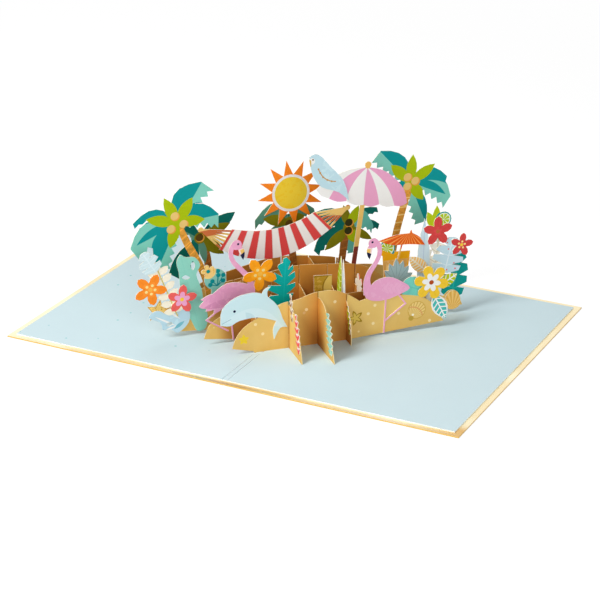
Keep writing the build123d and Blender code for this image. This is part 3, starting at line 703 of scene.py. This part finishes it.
blue_low = Sheet("blue_leaf_low_print", ink(186, 216, 228))
blue_low.fill(blue_low.noise(140) > 0.58, ink(196, 226, 236))
for p, q in (((-70, 8), (-82, 15)), ((-68, 12), (-74, 17)), ((-70, 8), (-76, 6.6))):
    blue_low.fill(Leaf(blue_low, p, q, 1.1).inside, WHITE)
blue_low.fill(Leaf(blue_low, (-71.5, 6.4), (-65.6, 10.4), 2.0).inside, ink(120, 186, 200))
dress("blue_leaf_low", blue_low)

blade = Sheet("blue_strip_print", ink(204, 223, 232))
blade.fill(Leaf(blade, (66, 8), (66.4, 60), 7.4).rib(0.5), ink(184, 204, 222))
dress("blue_strip", blade)

# %% Mint disc with its own blossom
root, bloom = (-46.6, 28.4), (-51.6, 37.4)
mint = Sheet("mint_disc_print", ink(134, 208, 192))
for tip in ((-46.2, 37.0), (-46.0, 34.6), (-43.2, 34.4), (-43.4, 31.2), (-49.4, 31.4), (-50.6, 29.4)):
    mint.fill(mint.bar(root, tip, 0.5) | mint.disc(tip, 1.25), ink(0, 148, 152))
mint.fill(mint.disc(bloom, 4.3), ink(250, 216, 134))
mint.fill(mint.disc(bloom, 3.4) & (mint.noise(420) > 0.55), ink(240, 196, 100))
mint.fill(mint.disc(bloom, 1.1), TEAL)
dress("mint_disc", mint)

# %% [markdown]
# ## Lime and drink
# A slice of lime is a rind, a pale ring and wedges about its centre. The drink has a bright upper part and rims, a cut
# piece of lime and a paper parasol, whose folds run out from its tip. All of it is flat print again, so the wedges and
# folds come from the angle about one point.

# %% Lime slice
PITH, FLESH = ink(232, 238, 210), ink(172, 194, 20)
centre = (77.4, 58.1)
lime = Sheet("lime_slice_print", ink(176, 192, 20))
far, part = lime.reach(centre), abs(lime.wedges(centre, 8) - 0.5)
lime.fill(far < 4.9, TEAL)
lime.fill(far < 3.9, PITH)
lime.fill((far < 3.4) & (part < 0.38) & (far > 0.4), FLESH)
dress("lime_slice", lime)

# %% Drink and parasol
drink = Sheet("drink_print", ink(218, 164, 86))
drink.fill(drink.noise(300) > 0.55, ink(226, 176, 104))
drink.fill((drink.z > 37.8) | (abs(drink.u - 50) > 6.0 + (drink.z - 25) * 0.09), ink(232, 164, 8))
drink.fill(Leaf(drink, (46, 14), (45, 36), 2.2).inside, ink(240, 206, 134))
cut = (44.8, 44.8)
far, part = drink.reach(cut), abs(drink.wedges(cut, 9) - 0.5)
piece = (far < 5.2) & (drink.z > 43.0 - (drink.u - cut[0]) * 0.5)
drink.fill(piece, TEAL)
drink.fill(piece & (far < 4.1), PITH)
drink.fill(piece & (far < 3.6) & (part < 0.36), FLESH)
drink.fill(drink.dots(4.0, 0.7, 0.4) & (drink.z < 36), ink(236, 198, 120))
dress("drink_glass", drink, rough=0.5)

parasol = Sheet("parasol_print", ink(236, 100, 24))
fold = parasol.wedges((57.6, 53.4), 28)
parasol.fill(fold < 0.16, ink(240, 182, 96))
parasol.fill(abs(fold - 0.62) < 0.1, ink(212, 82, 20))
parasol.fill((parasol.z < 44) & (parasol.u < 54.5), ink(226, 184, 110))
dress("drink_parasol", parasol, rough=0.5)

# %% [markdown]
# ## Gold pieces
# A drum, a starfish and a shell are printed in gold tones. Foil all over would mirror the white room and lose the
# drawing, so only the starfish has foil, and the others are gold ink.

# %% Drum, starfish and shell
drum = Sheet("drum_print", ink(190, 148, 44))
drum.fill(drum.noise(420) > 0.52, ink(208, 168, 70))
drum.fill(Leaf(drum, (9.4, 21), (13.2, 35), 6.6).inside, ink(150, 112, 26))
drum.fill(Leaf(drum, (9.6, 21.6), (13.0, 34.4), 5.2).inside, ink(226, 192, 100))
drum.fill(abs(drum.z - 33.6) < 0.4, ink(160, 120, 30))
dress("gold_drum", drum, rough=0.5)

starfish = Sheet("starfish_print", ink(214, 166, 76))
starfish.fill(starfish.star((-79.8, 17.8), 5.4, math.pi / 2 - 0.17, 0.4), ink(236, 196, 112), foil=True)
starfish.fill(starfish.dots(1.6, 0.3, 0.6), ink(186, 134, 50))
dress("gold_starfish", starfish, rough=0.5)

shell = Sheet("shell_print", ink(238, 186, 94))
ridge = shell.wedges((84.4, 4.0), 22)
shell.fill(ridge < 0.16, ink(216, 160, 72))
shell.fill(abs(ridge - 0.6) < 0.1, ink(247, 210, 136))
dress("gold_shell", shell, rough=0.5)

# %% [markdown]
# ## Camera
# The photograph looks down on the card from the front right with a long lens. The place and the lens come from
# fitting a camera to the card's four corners, which leaves nothing to judge by eye.

# %% Camera
CAMERA_AT = (0.46742, -0.92111, 0.46243)
LOOK_DOWN, LOOK_LEFT = 0.410011, 0.469045  # radians below level, and to the left of the spine's line
LENS, SENSOR = 122.655, 36

bpy.ops.object.select_all(action="DESELECT")
bpy.ops.object.camera_add(location=CAMERA_AT, rotation=(math.pi / 2 - LOOK_DOWN, 0, LOOK_LEFT))
camera = bpy.context.object
camera.data.lens = LENS
camera.data.sensor_width = SENSOR
bpy.context.scene.camera = camera
print("camera", list(camera.location), "lens", camera.data.lens)

# %% [markdown]
# ## Light
# The light is soft, as in a studio. One lamp could do it, but the lattice would then go black inside. So a key comes
# from high on the left, and the right sides of the crossing slices fall into shade. A wide fill from the right lifts
# that shade, and a top lamp behind the card reaches into the cells.

# %% Lamps
AIM = (0, 0, 0.03)


def softbox(name, place, size, power):
    """Round lamp that looks at the card, with its size in metres and its power in watts."""
    bpy.ops.object.light_add(type="AREA", location=place)
    lamp = bpy.context.object
    lamp.name = name
    lamp.data.shape = "DISK"
    lamp.data.size = size
    lamp.data.energy = power
    lamp.rotation_euler = (Vector(AIM) - Vector(place)).to_track_quat("-Z", "Y").to_euler()
    print(name, "lamp of", power, "W,", size, "m across")


softbox("key", (-0.52, -0.93, 1.09), 0.6, 18.5)
softbox("fill", (0.9, -1.0, 0.5), 0.9, 7.2)
softbox("top", (-0.5, 0.5, 1.33), 0.8, 4.2)

# %% [markdown]
# ## World and floor
# The background is white to the camera, while the light that it gives stays low. Light Path tells the two apart.
# The floor is white too, but still takes the card's shadow: it is part plain paint, part glow, and all glow farther
# out. White paint under more light would be simpler, but would bleach the card.


# %% World
def seen(net):
    """1 for what the camera sees, straight or by way of gloss or glass."""
    path = net.node("ShaderNodeLightPath").outputs
    straight, gloss, glass = [Value(net, path[f"Is {kind} Ray"]) for kind in ("Camera", "Glossy", "Transmission")]
    return straight | gloss | glass


PURE = (1, 1, 1, 1)
WORLD_LIGHT = 0.2

world = bpy.data.worlds.new("studio")
world.use_nodes = True
bpy.context.scene.world = world
sky = Net(world.node_tree)
dim, bright = [sky.node("ShaderNodeBackground", inputs={"Color": PURE, "Strength": s}) for s in (WORLD_LIGHT, 1.0)]
backdrop = sky.node("ShaderNodeMixShader", inputs={0: seen(sky), 1: dim.outputs[0], 2: bright.outputs[0]})
sky.feed(world.node_tree.nodes["World Output"].inputs["Surface"], backdrop.outputs[0])
print("world gives", WORLD_LIGHT, "of the white that it shows")

# %% Floor
FLOOR_PAINT, SHADOW_PAINT, FLOOR_GLOW = 0.9, 0.34, 0.74
GLOW_FROM = 0.3  # metres from the card's middle at which the glow starts to take over

bpy.ops.mesh.primitive_plane_add(size=12, location=(0, 0, -0.0001))
floor = bpy.context.object
floor.name = "floor"
paint = bpy.data.materials.new("floor_paint")
paint.use_nodes = True
ground = Net(paint.node_tree)
greys = [(share, share, share, 1) for share in (FLOOR_PAINT, SHADOW_PAINT)]
plain, thin = [ground.node("ShaderNodeBsdfDiffuse", inputs={"Color": grey}) for grey in greys]
glow, bare = [ground.node("ShaderNodeEmission", inputs={"Color": PURE, "Strength": s}) for s in (FLOOR_GLOW, 1.0)]
lit = ground.node("ShaderNodeAddShader", inputs={0: thin.outputs[0], 1: glow.outputs[0]})
place = ground.node("ShaderNodeTexCoord").outputs["Object"]
away = Value(ground, ground.node("ShaderNodeVectorMath", {"operation": "LENGTH"}, {0: place}).outputs["Value"])
far_out = ((away - GLOW_FROM) * 2).clip()
fading = ground.node("ShaderNodeMixShader", inputs={0: far_out, 1: lit.outputs[0], 2: bare.outputs[0]})
shown = ground.node("ShaderNodeMixShader", inputs={0: seen(ground), 1: plain.outputs[0], 2: fading.outputs[0]})
ground.feed(paint.node_tree.nodes["Material Output"].inputs["Surface"], shown.outputs[0])
floor.data.materials.append(paint)

bpy.context.scene.view_settings.view_transform = "Standard"
print("floor of", list(floor.dimensions)[:2], "m with", len(paint.node_tree.nodes), "nodes")
